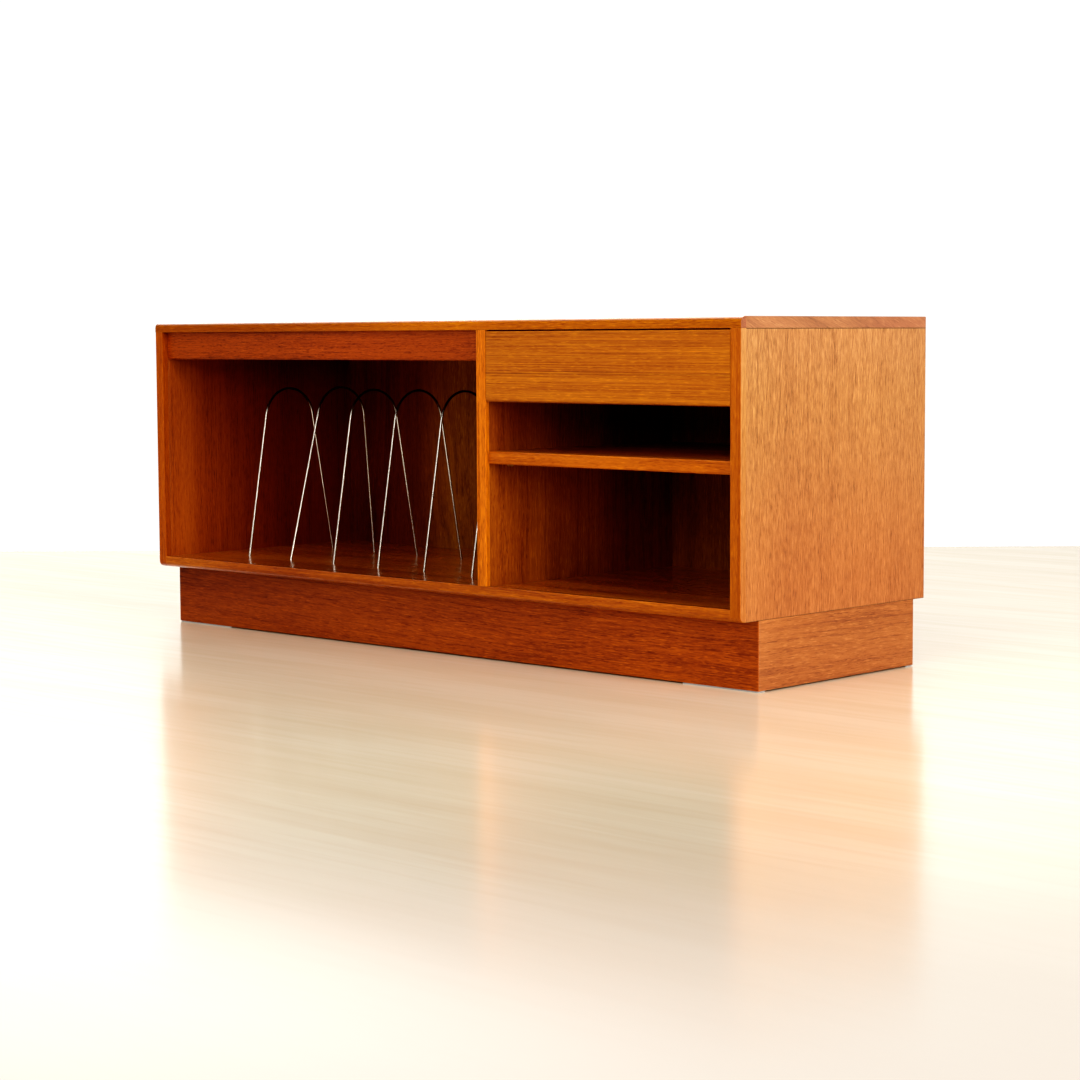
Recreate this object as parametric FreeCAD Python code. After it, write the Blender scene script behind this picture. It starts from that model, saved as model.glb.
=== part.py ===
import FreeCAD, Part
import math
import os
from FreeCAD import Vector as V

# Open-front teak record and hi-fi cabinet on a recessed plinth: a wide left bay with
# wire record dividers, and a right bay with a drawer and an adjustable shelf.
# Millimetres.  +X to the right seen from the front, the front faces -Y, +Z up.
# Origin: centre of the outer box, on the floor.

# --------------------------------------------------------------- carcass
OVERALL_W = 1330.0          # across the side panels
OVERALL_D = 450.0           # front edges to back edges
CARCASS_H = 433.0           # underside of the bottom to the top surface
PLINTH_H = 102.0
PAD_T = 2.0                 # felt pads under the plinth

TOP_T = 17.0
SIDE_T = 19.0
BOTTOM_T = 18.5
DIV_T = 20.0                # upright division
DIV_X = 150.0               # its centre
LIP_D = 12.0                # depth of the solid front lippings
LIP_SIDE = 6.0              # width of the lippings on the ends of the top
DIV_LIP = 8.0               # depth of the lipping on the division

EDGE_R = 9.5                # big rounding on the top and bottom front edges
OUTER_R = 1.2               # outer arrises of top ends and side lippings
LIP_INNER_R = 0.8           # inner arrises of the top and bottom lippings
CORE_R = 0.6                # arrises of the top and side panels
EASE_R = 1.0                # other eased arrises

REBATE_W = 9.5              # width of the back panel rebate in the sides
REBATE_H = 8.0              # height of the rebate in top and bottom
REBATE_D = 5.5
OVER = 1.0                  # cutting tools run this far past a face
TOUCH = 0.1                 # slack when picking edges beside a rounding

HALF_W = OVERALL_W / 2
FRONT = -OVERALL_D / 2
BACK = OVERALL_D / 2
UNDERSIDE = PAD_T + PLINTH_H            # underside of the bottom panel
TOP = UNDERSIDE + CARCASS_H
CEILING = TOP - TOP_T                   # underside of the top
DECK = UNDERSIDE + BOTTOM_T             # upper face of the bottom panel
INNER_X = HALF_W - SIDE_T               # inner faces of the side panels
DIV_LEFT = DIV_X - DIV_T / 2
DIV_RIGHT = DIV_X + DIV_T / 2
LIP_BACK = FRONT + LIP_D                # back faces of the front lippings
REBATE_Y = BACK - REBATE_D              # front face of the back panel

SIDES = (-1, 1)                         # left, right


# --------------------------------------------------------------- helpers
def box(x0, x1, y0, y1, z0, z1):
    """Box between two corners; the x ends may come in either order."""
    x0, x1 = sorted((x0, x1))
    return Part.makeBox(x1 - x0, y1 - y0, z1 - z0, V(x0, y0, z0))


def one(shape):
    solids = shape.Solids
    if len(solids) != 1:
        raise ValueError("expected one solid, got %d" % len(solids))
    return solids[0]


def cut(shape, tools):
    for tool in tools:
        shape = shape.cut(tool)
    return one(shape)


def near(a, b):
    return abs(a - b) < 0.02


def ease(shape, radius, x=None, y=None, z=None, also=lambda point: True):
    """Round the edges whose two ends lie on the given planes and satisfy also."""
    def picked(point):
        pairs = ((x, point.x), (y, point.y), (z, point.z))
        return all(want is None or near(got, want) for want, got in pairs) and also(point)

    edges = [e for e in shape.Edges if all(picked(v.Point) for v in e.Vertexes)]
    if not edges:
        raise ValueError("no edge picked")
    return one(shape.makeFillet(radius, edges))


def upright_edges(shape):
    ends = [(e, e.Vertexes[0], e.Vertexes[1]) for e in shape.Edges]
    return [e for e, a, b in ends if near(a.X, b.X) and near(a.Y, b.Y)]


def prism_x(outline, x0, x1):
    """Straight prism along X from a (y, z) outline; x ends in either order."""
    x0, x1 = sorted((x0, x1))
    wire = Part.makePolygon([V(x0, y, z) for y, z in outline + outline[:1]])
    return one(Part.Face(wire).extrude(V(x1 - x0, 0, 0)))


def prism_z(outline, z0, z1):
    """Straight prism along Z from an (x, y) outline."""
    wire = Part.makePolygon([V(x, y, z0) for x, y in outline + outline[:1]])
    return one(Part.Face(wire).extrude(V(0, 0, z1 - z0)))


def chamfered_rod(radius, length, start, direction, chamfer):
    rod = Part.makeCylinder(radius, length, start, direction)
    rims = [e for e in rod.Edges if isinstance(e.Curve, Part.Circle)]
    return one(rod.makeChamfer(chamfer, rims))


def unit(vector):
    return vector * (1 / vector.Length)


# ---------------------------------------------------------------- screws
TIP_RATIO = 1.6             # length of the point over the shank radius
TIP_R = 0.25
SLOT_W = 0.9
SLOT_D = 0.8

BACK_SCREW = dict(length=16.0, shank_r=1.5, head_r=3.0, head_h=1.6)
PLINTH_SCREW = dict(length=52.0, shank_r=2.25, head_r=4.5, head_h=2.6)
DRAWER_SCREW = dict(length=15.0, shank_r=1.25, head_r=2.5, head_h=1.3)
RUNNER_SCREW = dict(length=16.0, shank_r=1.75, head_r=3.5, head_h=1.9)


def screw_body(head, direction, length, shank_r, head_r, head_h):
    """Countersunk screw without its slot, also used to cut its hole.
    head is the centre of the flat face, direction the way it is driven."""
    tip = shank_r * TIP_RATIO
    cone = Part.makeCone(head_r, shank_r, head_h, head, direction)
    shank = Part.makeCylinder(shank_r, length - head_h - tip,
                              head + direction * head_h, direction)
    point = Part.makeCone(shank_r, TIP_R, tip, head + direction * (length - tip), direction)
    return one(cone.fuse([shank, point]).removeSplitter())


def screws_and_holes(heads, direction, size):
    """Slotted screws at the given heads, and the plain bodies that cut their holes."""
    screws, holes = [], []
    reach = size["head_r"] + OVER
    turn = FreeCAD.Rotation(V(0, 0, 1), direction)
    for head in heads:
        slot = Part.makeBox(2 * reach, SLOT_W, SLOT_D, V(-reach, -SLOT_W / 2, 0))
        slot.Placement = FreeCAD.Placement(head, turn).multiply(slot.Placement)
        screws.append(cut(screw_body(head, direction, **size), [slot]))
        holes.append(screw_body(head, direction, **size))
    return screws, holes


# ------------------------------------------------- carcass panels, solid
def top_front_lipping():
    lip = box(-HALF_W, HALF_W, FRONT, LIP_BACK, CEILING, TOP)
    lip = ease(lip, EDGE_R, y=FRONT, z=TOP)
    return ease(lip, LIP_INNER_R, y=FRONT, z=CEILING)


def top_end_lipping(side):
    lip = box(side * HALF_W, side * (HALF_W - LIP_SIDE), LIP_BACK, BACK, CEILING, TOP)
    return ease(lip, OUTER_R, x=side * HALF_W, z=TOP)


def top_core():
    end = HALF_W - LIP_SIDE
    rebate_end = INNER_X + REBATE_W
    core = box(-end, end, LIP_BACK, BACK, CEILING, TOP)
    core = cut(core, [box(-rebate_end, rebate_end, REBATE_Y, BACK + OVER,
                          CEILING - OVER, CEILING + REBATE_H)])
    return ease(core, CORE_R, y=BACK, z=TOP)


def side_panel(side):
    panel = box(side * HALF_W, side * INNER_X, LIP_BACK, BACK, UNDERSIDE, CEILING)
    panel = cut(panel, [box(side * (INNER_X + REBATE_W), side * (INNER_X - OVER),
                            REBATE_Y, BACK + OVER, DECK - REBATE_H, CEILING + OVER)])
    return ease(panel, CORE_R, x=side * HALF_W, z=UNDERSIDE)


def side_lipping(side):
    lip = box(side * HALF_W, side * INNER_X, FRONT, LIP_BACK, UNDERSIDE, CEILING)
    lip = ease(lip, EDGE_R, y=FRONT, z=UNDERSIDE)
    # the outer front arris, following the big rounding
    return ease(lip, OUTER_R, x=side * HALF_W,
                also=lambda p: p.y < FRONT + EDGE_R + TOUCH
                and (near(p.y, FRONT) or p.z < UNDERSIDE + EDGE_R + TOUCH))


def bottom_front_lipping():
    lip = box(-INNER_X, INNER_X, FRONT, LIP_BACK, UNDERSIDE, DECK)
    lip = ease(lip, EDGE_R, y=FRONT, z=UNDERSIDE)
    return ease(lip, LIP_INNER_R, y=FRONT, z=DECK)


def bottom_panel():
    panel = box(-INNER_X, INNER_X, LIP_BACK, BACK, UNDERSIDE, DECK)
    return cut(panel, [box(-INNER_X - OVER, INNER_X + OVER, REBATE_Y, BACK + OVER,
                           DECK - REBATE_H, DECK + OVER)])


def division_lipping():
    lip = box(DIV_LEFT, DIV_RIGHT, FRONT, FRONT + DIV_LIP, DECK, CEILING)
    lip = ease(lip, EASE_R, x=DIV_LEFT, y=FRONT)
    return ease(lip, EASE_R, x=DIV_RIGHT, y=FRONT)


def division_panel():
    return box(DIV_LEFT, DIV_RIGHT, FRONT + DIV_LIP, REBATE_Y, DECK, CEILING)


# ------------------------------------------------------ fascia, left bay
FASCIA_Y = FRONT + 12.0     # front face, behind the front edges
FASCIA_T = 18.0
FASCIA_H = 47.5
FASCIA_R = 3.5
GLUE_BLOCK_XS = (-600.0, -375.0, -150.0, 90.0)
GLUE_BLOCK_L = 60.0
GLUE_BLOCK_LEG = 20.0       # glued faces
GLUE_BLOCK_NOSE = 4.0       # thickness left at the ends of the bevel


def fascia_rail():
    low = CEILING - FASCIA_H
    rail = box(-INNER_X, DIV_LEFT, FASCIA_Y, FASCIA_Y + FASCIA_T, low, CEILING)
    return ease(rail, FASCIA_R, y=FASCIA_Y, z=low)


def fascia_glue_blocks():
    """Bevelled blocks in the corner behind the rail and under the top."""
    y, z = FASCIA_Y + FASCIA_T, CEILING
    leg, nose = GLUE_BLOCK_LEG, GLUE_BLOCK_NOSE
    outline = [(y, z), (y + leg, z), (y + leg, z - nose), (y + nose, z - leg), (y, z - leg)]
    return Part.makeCompound([prism_x(outline, x - GLUE_BLOCK_L / 2, x + GLUE_BLOCK_L / 2)
                              for x in GLUE_BLOCK_XS])


# ---------------------------------------------------------------- dowels
DOWEL_R = 4.0
DOWEL_SHALLOW = 10.0        # depth in top and sides, and in the bottom under the division
DOWEL_DEEP = 20.0           # depth in the part that butts against them
DOWEL_L = DOWEL_SHALLOW + DOWEL_DEEP
DOWEL_CHAMFER = 0.7
DOWEL_GAP = 0.5             # clearance at each end of the hole
DOWEL_SIDE_X = INNER_X + 8.5            # upright dowels in the side panels
SIDE_DOWEL_YS = (-160.0, -50.0, 60.0, 170.0)
DIV_DOWEL_YS = (-150.0, 0.0, 150.0)


def carcass_dowels():
    """The dowels and the bores that hold them."""
    places = []             # (start, direction)
    up = V(0, 0, 1)
    for side in SIDES:
        for y in SIDE_DOWEL_YS:
            places.append((V(side * DOWEL_SIDE_X, y, CEILING - DOWEL_DEEP), up))
            places.append((V(side * (INNER_X - DOWEL_DEEP), y, UNDERSIDE + BOTTOM_T / 2),
                           V(side, 0, 0)))
    for y in DIV_DOWEL_YS:
        places.append((V(DIV_X, y, CEILING - DOWEL_DEEP), up))
        places.append((V(DIV_X, y, DECK - DOWEL_SHALLOW), up))
    dowels = [chamfered_rod(DOWEL_R, DOWEL_L, start, way, DOWEL_CHAMFER)
              for start, way in places]
    bores = [Part.makeCylinder(DOWEL_R, DOWEL_L + 2 * DOWEL_GAP, start - way * DOWEL_GAP, way)
             for start, way in places]
    return dowels, bores


# ------------------------------------------------- wire record dividers
DIVIDER_N = 6               # equal compartments between them
DIVIDER_PITCH = (DIV_LEFT + INNER_X) / (DIVIDER_N + 1)
WIRE_R = 2.0
FOOT_FRONT_Y = FRONT + 99.5
FOOT_BACK_Y = FRONT + 297.2
CROWN_R = 55.0
CROWN_H = 296.5             # centre of the wire at the crown, above the bottom panel
CROWN_SHIFT = -1.5          # crown centre from midway between the feet
SOCKET_D = 12.0             # depth of the feet in the bottom panel
SOCKET_GAP = 0.03           # radial clearance of a foot in its socket
SOCKET_END_GAP = 0.2
SOCKET_L = 20.0             # length of the tool that bores a socket
BENT_DIVIDER = 2            # this one is pushed back a little at the crown
BENT_LEAN = 24.0
BENT_RISE = 2.5


def crown_tangent(foot, centre, turn):
    """Point where the straight leg from foot touches the crown circle."""
    reach = centre - foot
    angle = math.atan2(reach.z, reach.y) + math.pi + turn * math.acos(CROWN_R / reach.Length)
    return centre + V(0, math.cos(angle), math.sin(angle)) * CROWN_R


def record_divider(x, lean, rise):
    """One wire arch and the tools that bore its two sockets."""
    centre = V(x, (FOOT_FRONT_Y + FOOT_BACK_Y) / 2 + CROWN_SHIFT + lean,
               DECK + CROWN_H - CROWN_R + rise)
    legs = []               # (lower end, point on the crown, direction up the leg)
    for y, turn in ((FOOT_FRONT_Y, -1), (FOOT_BACK_Y, 1)):
        foot = V(x, y, DECK)
        touch = crown_tangent(foot, centre, turn)
        up = unit(touch - foot)
        legs.append((foot - up * SOCKET_D, touch, up))
    (end1, touch1, up1), (end2, touch2, _) = legs
    path = Part.Wire([
        Part.makeLine(end1, touch1),
        Part.Arc(touch1, centre + V(0, 0, CROWN_R), touch2).toShape(),
        Part.makeLine(touch2, end2)])
    profile = Part.Wire([Part.makeCircle(WIRE_R, end1, up1)])
    arch = one(path.makePipeShell([profile], True, True))
    sockets = [Part.makeCylinder(WIRE_R + SOCKET_GAP, SOCKET_L, end - up * SOCKET_END_GAP, up)
               for end, _, up in legs]
    return arch, sockets


# ------------------------------------------------------------ back panel
BACK_T = 5.0
BACK_GAP = 0.5              # clearance round the panel in its rebate
BACK_SCREW_XS = (-560.0, -340.0, -120.0, 90.0, 260.0, 440.0, 600.0)
BACK_SCREW_ZS = (200.0, 320.0, 440.0)
BACK_SCREW_RISE = 4.0       # rows beyond the faces of top and bottom
BACK_SCREW_OUT = 4.5        # columns beyond the inner faces of the sides


def back_panel_screws():
    spots = []              # (x, z)
    for x in BACK_SCREW_XS:
        spots += [(x, CEILING + BACK_SCREW_RISE), (x, DECK - BACK_SCREW_RISE)]
    column = INNER_X + BACK_SCREW_OUT
    for z in BACK_SCREW_ZS:
        spots += [(-column, z), (column, z), (DIV_X, z)]
    heads = [V(x, REBATE_Y + BACK_T, z) for x, z in spots]
    return screws_and_holes(heads, V(0, -1, 0), BACK_SCREW)


def back_panel(holes):
    end = INNER_X + REBATE_W - BACK_GAP
    grip = REBATE_H - BACK_GAP
    return cut(box(-end, end, REBATE_Y, REBATE_Y + BACK_T, DECK - grip, CEILING + grip), holes)


# ---------------------------------------------------------------- plinth
PL_X = HALF_W - 1.0         # outer faces, inside the faces of the side panels
PL_FRONT = FRONT + 43.0
PL_BACK = BACK - 25.0
PL_T = 19.0
PL_CORNER_R = 2.0
PL_FOOT_R = 1.2             # lower outer arris
CROSS_RAIL_LIFT = 12.0      # cross rail above the lower edges of the others
BLOCK = 45.0                # legs of the corner blocks
BLOCK_H = 40.0
BLOCK_NOSE = 0.33           # thickness at the bevel, over the leg
BLOCK_SCREW = 0.4           # screw from each rail, over the leg
PAD_L = 142.0
PAD_W = 17.0
PAD_CORNER_R = 2.0
PAD_INSET_X = 1.5           # pads inside the plinth faces
PAD_INSET_Y = 0.8


def plinth_rails():
    """Four mitred rails, cut from one block with rounded outer edges."""
    envelope = box(-PL_X, PL_X, PL_FRONT, PL_BACK, PAD_T, UNDERSIDE)
    envelope = one(envelope.makeFillet(PL_CORNER_R, upright_edges(envelope)))
    envelope = ease(envelope, PL_FOOT_R, z=PAD_T)

    def corners(inset):
        """Front left, front right, back right, back left."""
        x, y0, y1 = PL_X - inset, PL_FRONT + inset, PL_BACK - inset
        return [(-x, y0), (x, y0), (x, y1), (-x, y1)]

    outer, inner = corners(-OVER), corners(PL_T)
    rails = {}
    for i, place in enumerate(("front", "right", "back", "left")):
        j = (i + 1) % 4
        wedge = prism_z([outer[i], outer[j], inner[j], inner[i]], PAD_T - OVER, UNDERSIDE)
        rails["plinth_%s_rail" % place] = one(envelope.common(wedge))
    return rails


def plinth_cross_rail():
    return box(-PL_T / 2, PL_T / 2, PL_FRONT + PL_T, PL_BACK - PL_T,
               PAD_T + CROSS_RAIL_LIFT, UNDERSIDE)


def plinth_corner_blocks():
    """Bevelled blocks in the inner corners, each screwed up into the bottom panel."""
    blocks, screws, holes = [], [], []
    low = UNDERSIDE - BLOCK_H
    for side in SIDES:
        for end, rail_y in ((-1, PL_FRONT + PL_T), (1, PL_BACK - PL_T)):
            x, y = side * (PL_X - PL_T), rail_y
            dx, dy = -side * BLOCK, -end * BLOCK
            block = prism_z([(x, y), (x + dx, y), (x + dx, y + BLOCK_NOSE * dy),
                             (x + BLOCK_NOSE * dx, y + dy), (x, y + dy)], low, UNDERSIDE)
            head = V(x + BLOCK_SCREW * dx, y + BLOCK_SCREW * dy, low)
            screw, hole = screws_and_holes([head], V(0, 0, 1), PLINTH_SCREW)
            blocks.append(cut(block, hole))
            screws += screw
            holes += hole
    return blocks, screws, holes


def plinth_felt_pads():
    pads = []
    outer = PL_X - PAD_INSET_X
    for side in SIDES:
        for y in (PL_FRONT + PAD_INSET_Y, PL_BACK - PAD_INSET_Y - PAD_W):
            pad = box(side * outer, side * (outer - PAD_L), y, y + PAD_W, 0.0, PAD_T)
            pads.append(one(pad.makeFillet(PAD_CORNER_R, upright_edges(pad))))
    return Part.makeCompound(pads)


# ------------------------------------------- right bay: drawer and shelf
BAY_GAP = 1.0               # gap each side of the drawer and the shelf
BAY_X0 = DIV_RIGHT + BAY_GAP
BAY_X1 = INNER_X - BAY_GAP

DR_TOP = CEILING - 2.0      # drawer front, below a gap
DR_LOW = DR_TOP - 108.5
DR_FRONT_BACK = FRONT + 19.0            # back face of the drawer front
DR_LOW_R = 4.0
DR_END_R = 0.5
DR_END_CLEAR = 3.0          # end roundings are picked above this
PULL_R = 7.0                # finger pull
PULL_RISE = 2.5

DR_SIDE_T = 12.0
DR_SIDE_LOW = 420.0
DR_SIDE_HIGH = 508.0
DR_SIDE_END = 195.0         # back end of the drawer sides
TAIL_ZS = (437.0, 464.0, 491.0)
TAIL_L = 12.0               # dovetail length into the front
TAIL_ROOT = 8.9             # half heights of a tail
TAIL_TIP = 11.0
TAIL_LAP = 0.5              # tails run this far into the side

DR_BOT_T = 4.0
DR_BOT_Z = DR_SIDE_LOW + 7.0
DR_BOT_TONGUE = 6.0         # into the drawer front
DR_BACK_Y = 175.0
DR_BACK_T = 11.0
DR_BACK_DROP = 4.0          # below the top of the sides
HOUSING_D = 5.0             # bottom and back are let this far into the sides
DR_SCREW_XS = (220.0, 403.0, 586.0)

RUN_LOW = 457.0             # side runners
RUN_H = 14.0
RUN_T = 6.5
RUN_START = DR_FRONT_BACK + 6.0
RUN_END = 190.0
RUN_CHAMFER = 1.0
RUN_SCREW_YS = (-170.0, 0.0, 160.0)
GROOVE_D = 6.0              # runner groove in the drawer sides
GROOVE_GAP_FRONT = 0.3      # clearances round the runner
GROOVE_GAP_LOW = 0.3
GROOVE_GAP_TOP = 0.1

SHELF_T = 20.0
SHELF_FRONT = FRONT + 6.0
SHELF_BACK = 209.0
SHELF_Z = 313.0             # underside of the shelf
SHELF_R = 3.0
PIN_R = 2.5
PIN_L = 20.0                # half of it in the panel
PIN_CHAMFER = 0.5
PIN_YS = (-175.0, 165.0)
PIN_Z = SHELF_Z - PIN_R - 0.03          # just clear of the shelf
PIN_HOLE_GAP = 0.02         # radial clearance
PIN_END_GAP = 0.3
PIN_HOLE_L = 10.5


def bay_wall(side):
    """Face of the division, or inner face of the right side panel."""
    return DIV_RIGHT if side < 0 else INNER_X


def drawer_side(side):
    outer = bay_wall(side) - side * BAY_GAP
    inner = outer - side * DR_SIDE_T
    y = DR_FRONT_BACK
    board = box(outer, inner, y, DR_SIDE_END, DR_SIDE_LOW, DR_SIDE_HIGH)
    tails = [prism_x([(y + TAIL_LAP, z - TAIL_ROOT), (y, z - TAIL_ROOT),
                      (y - TAIL_L, z - TAIL_TIP), (y - TAIL_L, z + TAIL_TIP),
                      (y, z + TAIL_ROOT), (y + TAIL_LAP, z + TAIL_ROOT)], outer, inner)
             for z in TAIL_ZS]
    board = one(board.fuse(tails).removeSplitter())
    # groove for the runner, closed at the front
    board = cut(board, [box(outer + side * OVER, outer - side * GROOVE_D,
                            RUN_START - GROOVE_GAP_FRONT, DR_SIDE_END + OVER,
                            RUN_LOW - GROOVE_GAP_LOW, RUN_LOW + RUN_H + GROOVE_GAP_TOP)])
    # groove for the bottom, then the housing for the back
    inside, depth = inner - side * OVER, inner + side * HOUSING_D
    board = cut(board, [
        box(inside, depth, y, DR_SIDE_END + OVER, DR_BOT_Z, DR_BOT_Z + DR_BOT_T),
        box(inside, depth, DR_BACK_Y, DR_BACK_Y + DR_BACK_T, DR_BOT_Z, DR_SIDE_HIGH + OVER)])
    return ease(board, EASE_R, x=outer, z=DR_SIDE_HIGH)


def drawer_bottom():
    """Bottom with a tongue into the front, notched round the drawer sides."""
    inset = DR_SIDE_T - HOUSING_D
    y = DR_FRONT_BACK
    board = box(BAY_X0 + inset, BAY_X1 - inset, y - DR_BOT_TONGUE, DR_BACK_Y + DR_BACK_T,
                DR_BOT_Z, DR_BOT_Z + DR_BOT_T)
    return cut(board, [box(x0, x1, y - DR_BOT_TONGUE - OVER, y,
                           DR_BOT_Z - OVER, DR_BOT_Z + DR_BOT_T + OVER)
                       for x0, x1 in ((BAY_X0 - OVER, BAY_X0 + DR_SIDE_T),
                                      (BAY_X1 - DR_SIDE_T, BAY_X1 + OVER))])


def drawer_back():
    inset = DR_SIDE_T - HOUSING_D
    return box(BAY_X0 + inset, BAY_X1 - inset, DR_BACK_Y, DR_BACK_Y + DR_BACK_T,
               DR_BOT_Z + DR_BOT_T, DR_SIDE_HIGH - DR_BACK_DROP)


def drawer_front(let_in):
    """Front with a finger pull, cut to take the parts let into it."""
    board = box(BAY_X0, BAY_X1, FRONT, DR_FRONT_BACK, DR_LOW, DR_TOP)
    board = ease(board, DR_LOW_R, y=FRONT, z=DR_LOW)
    board = ease(board, EASE_R, y=FRONT, z=DR_TOP)
    for x in (BAY_X0, BAY_X1):
        board = ease(board, DR_END_R, x=x, y=FRONT, also=lambda p: p.z > DR_LOW + DR_END_CLEAR)
    # finger pull: a cove along the lower back edge
    cove = Part.makeCylinder(PULL_R, BAY_X1 - BAY_X0 + 2 * OVER,
                             V(BAY_X0 - OVER, DR_FRONT_BACK, DR_LOW + PULL_RISE), V(1, 0, 0))
    return cut(board, [cove] + let_in)


def drawer_runner(side):
    """Runner on one wall of the bay, with its screws and their holes."""
    wall = bay_wall(side)
    face = wall - side * RUN_T
    runner = box(wall, face, RUN_START, RUN_END, RUN_LOW, RUN_LOW + RUN_H)
    ends = [e for e in upright_edges(runner) if near(e.Vertexes[0].X, face)]
    runner = one(runner.makeChamfer(RUN_CHAMFER, ends))
    heads = [V(face, y, RUN_LOW + RUN_H / 2) for y in RUN_SCREW_YS]
    screws, holes = screws_and_holes(heads, V(side, 0, 0), RUNNER_SCREW)
    return cut(runner, holes), screws, holes


def shelf_front_lipping():
    lip = box(BAY_X0, BAY_X1, SHELF_FRONT, SHELF_FRONT + LIP_D, SHELF_Z, SHELF_Z + SHELF_T)
    lip = ease(lip, SHELF_R, y=SHELF_FRONT, z=SHELF_Z)
    return ease(lip, SHELF_R, y=SHELF_FRONT, z=SHELF_Z + SHELF_T)


def adjustable_shelf():
    return box(BAY_X0, BAY_X1, SHELF_FRONT + LIP_D, SHELF_BACK, SHELF_Z, SHELF_Z + SHELF_T)


def shelf_pins():
    pins, holes = [], []
    for side in SIDES:
        inward = V(-side, 0, 0)
        for y in PIN_YS:
            start = V(bay_wall(side) + side * PIN_L / 2, y, PIN_Z)
            pins.append(chamfered_rod(PIN_R, PIN_L, start, inward, PIN_CHAMFER))
            holes.append(Part.makeCylinder(PIN_R + PIN_HOLE_GAP, PIN_HOLE_L,
                                           start - inward * PIN_END_GAP, inward))
    return pins, holes


# -------------------------------------------------------------- assembly
pieces = {
    "top_front_lipping": top_front_lipping(),
    "top_left_lipping": top_end_lipping(-1),
    "top_right_lipping": top_end_lipping(1),
    "left_side_lipping": side_lipping(-1),
    "right_side_lipping": side_lipping(1),
    "bottom_front_lipping": bottom_front_lipping(),
    "division_lipping": division_lipping(),
    "fascia_rail": fascia_rail(),
    "fascia_glue_blocks": fascia_glue_blocks(),
    "plinth_cross_rail": plinth_cross_rail(),
    "plinth_felt_pads": plinth_felt_pads(),
    "shelf_front_lipping": shelf_front_lipping(),
    "adjustable_shelf": adjustable_shelf(),
}
pieces.update(plinth_rails())

dowels, dowel_holes = carcass_dowels()
pieces["carcass_dowels"] = Part.makeCompound(dowels)

wire_holes = []
for k in range(1, DIVIDER_N + 1):
    lean, rise = (BENT_LEAN, BENT_RISE) if k == BENT_DIVIDER else (0.0, 0.0)
    arch, sockets = record_divider(-INNER_X + k * DIVIDER_PITCH, lean, rise)
    pieces["record_divider_%d" % k] = arch
    wire_holes += sockets

back_screws, back_holes = back_panel_screws()
pieces["back_panel_screws"] = Part.makeCompound(back_screws)
pieces["back_panel"] = back_panel(back_holes)

blocks, plinth_screws, plinth_holes = plinth_corner_blocks()
pieces["plinth_corner_blocks"] = Part.makeCompound(blocks)
pieces["plinth_screws"] = Part.makeCompound(plinth_screws)

left, right, bottom = drawer_side(-1), drawer_side(1), drawer_bottom()
drawer_screws, drawer_holes = screws_and_holes(
    [V(x, DR_BACK_Y + DR_BACK_T / 2, DR_BOT_Z) for x in DR_SCREW_XS], V(0, 0, 1), DRAWER_SCREW)
pieces["drawer_front"] = drawer_front([left, right, bottom])
pieces["drawer_left_side"] = left
pieces["drawer_right_side"] = right
pieces["drawer_bottom"] = cut(bottom, drawer_holes)
pieces["drawer_back"] = cut(drawer_back(), drawer_holes)
pieces["drawer_bottom_screws"] = Part.makeCompound(drawer_screws)

runner_screws, runner_holes = [], []
for name, side in (("left", -1), ("right", 1)):
    runner, screws, holes = drawer_runner(side)
    pieces["drawer_runner_" + name] = runner
    runner_screws += screws
    runner_holes += holes
pieces["runner_screws"] = Part.makeCompound(runner_screws)

pins, pin_holes = shelf_pins()
pieces["shelf_pins"] = Part.makeCompound(pins)

# carcass panels, bored for everything fixed to them
shared = dowel_holes + back_holes
bay_holes = runner_holes + pin_holes
pieces["top_core"] = cut(top_core(), shared)
pieces["left_side_panel"] = cut(side_panel(-1), shared)
pieces["right_side_panel"] = cut(side_panel(1), shared + bay_holes)
pieces["bottom_panel"] = cut(bottom_panel(), shared + wire_holes + plinth_holes)
pieces["division_panel"] = cut(division_panel(), shared + bay_holes)

os.makedirs("parts", exist_ok=True)
for name, shape in pieces.items():
    if not shape.isValid():
        raise ValueError(name + " is not valid")
    shape.exportStep("parts/%s.step" % name)
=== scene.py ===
"""Looks, floor, lights and camera for a teak cabinet with a drawer and wire record dividers.

The cabinet stands on z = 0, centred left to right. +X is its right side, -Y its front,
+Z is up. Units are metres, colours are linear.
"""
import math
from functools import cached_property

import bmesh
import bpy
from mathutils import Matrix, Vector, noise


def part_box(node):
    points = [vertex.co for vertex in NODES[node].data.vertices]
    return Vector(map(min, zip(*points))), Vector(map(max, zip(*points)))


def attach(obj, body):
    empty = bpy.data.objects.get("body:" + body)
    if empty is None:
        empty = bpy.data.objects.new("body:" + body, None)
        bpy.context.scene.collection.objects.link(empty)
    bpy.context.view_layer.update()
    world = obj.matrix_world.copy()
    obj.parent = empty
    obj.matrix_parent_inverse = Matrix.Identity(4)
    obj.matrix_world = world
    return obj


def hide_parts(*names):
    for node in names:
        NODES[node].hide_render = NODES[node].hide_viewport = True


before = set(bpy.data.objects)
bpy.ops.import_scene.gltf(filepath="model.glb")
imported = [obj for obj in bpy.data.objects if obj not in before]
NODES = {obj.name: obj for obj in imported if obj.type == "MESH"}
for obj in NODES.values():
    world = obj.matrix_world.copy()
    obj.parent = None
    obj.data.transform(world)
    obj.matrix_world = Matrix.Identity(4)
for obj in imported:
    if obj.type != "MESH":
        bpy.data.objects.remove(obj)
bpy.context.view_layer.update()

# heights and depth read from the CAD pieces
TOP_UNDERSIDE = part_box("top_core")[0].z
BOTTOM_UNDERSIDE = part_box("bottom_panel")[0].z
BOTTOM_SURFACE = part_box("bottom_panel")[1].z
DRAWER_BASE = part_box("drawer_front")[0].z
FRONT_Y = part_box("top_front_lipping")[0].y


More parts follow.
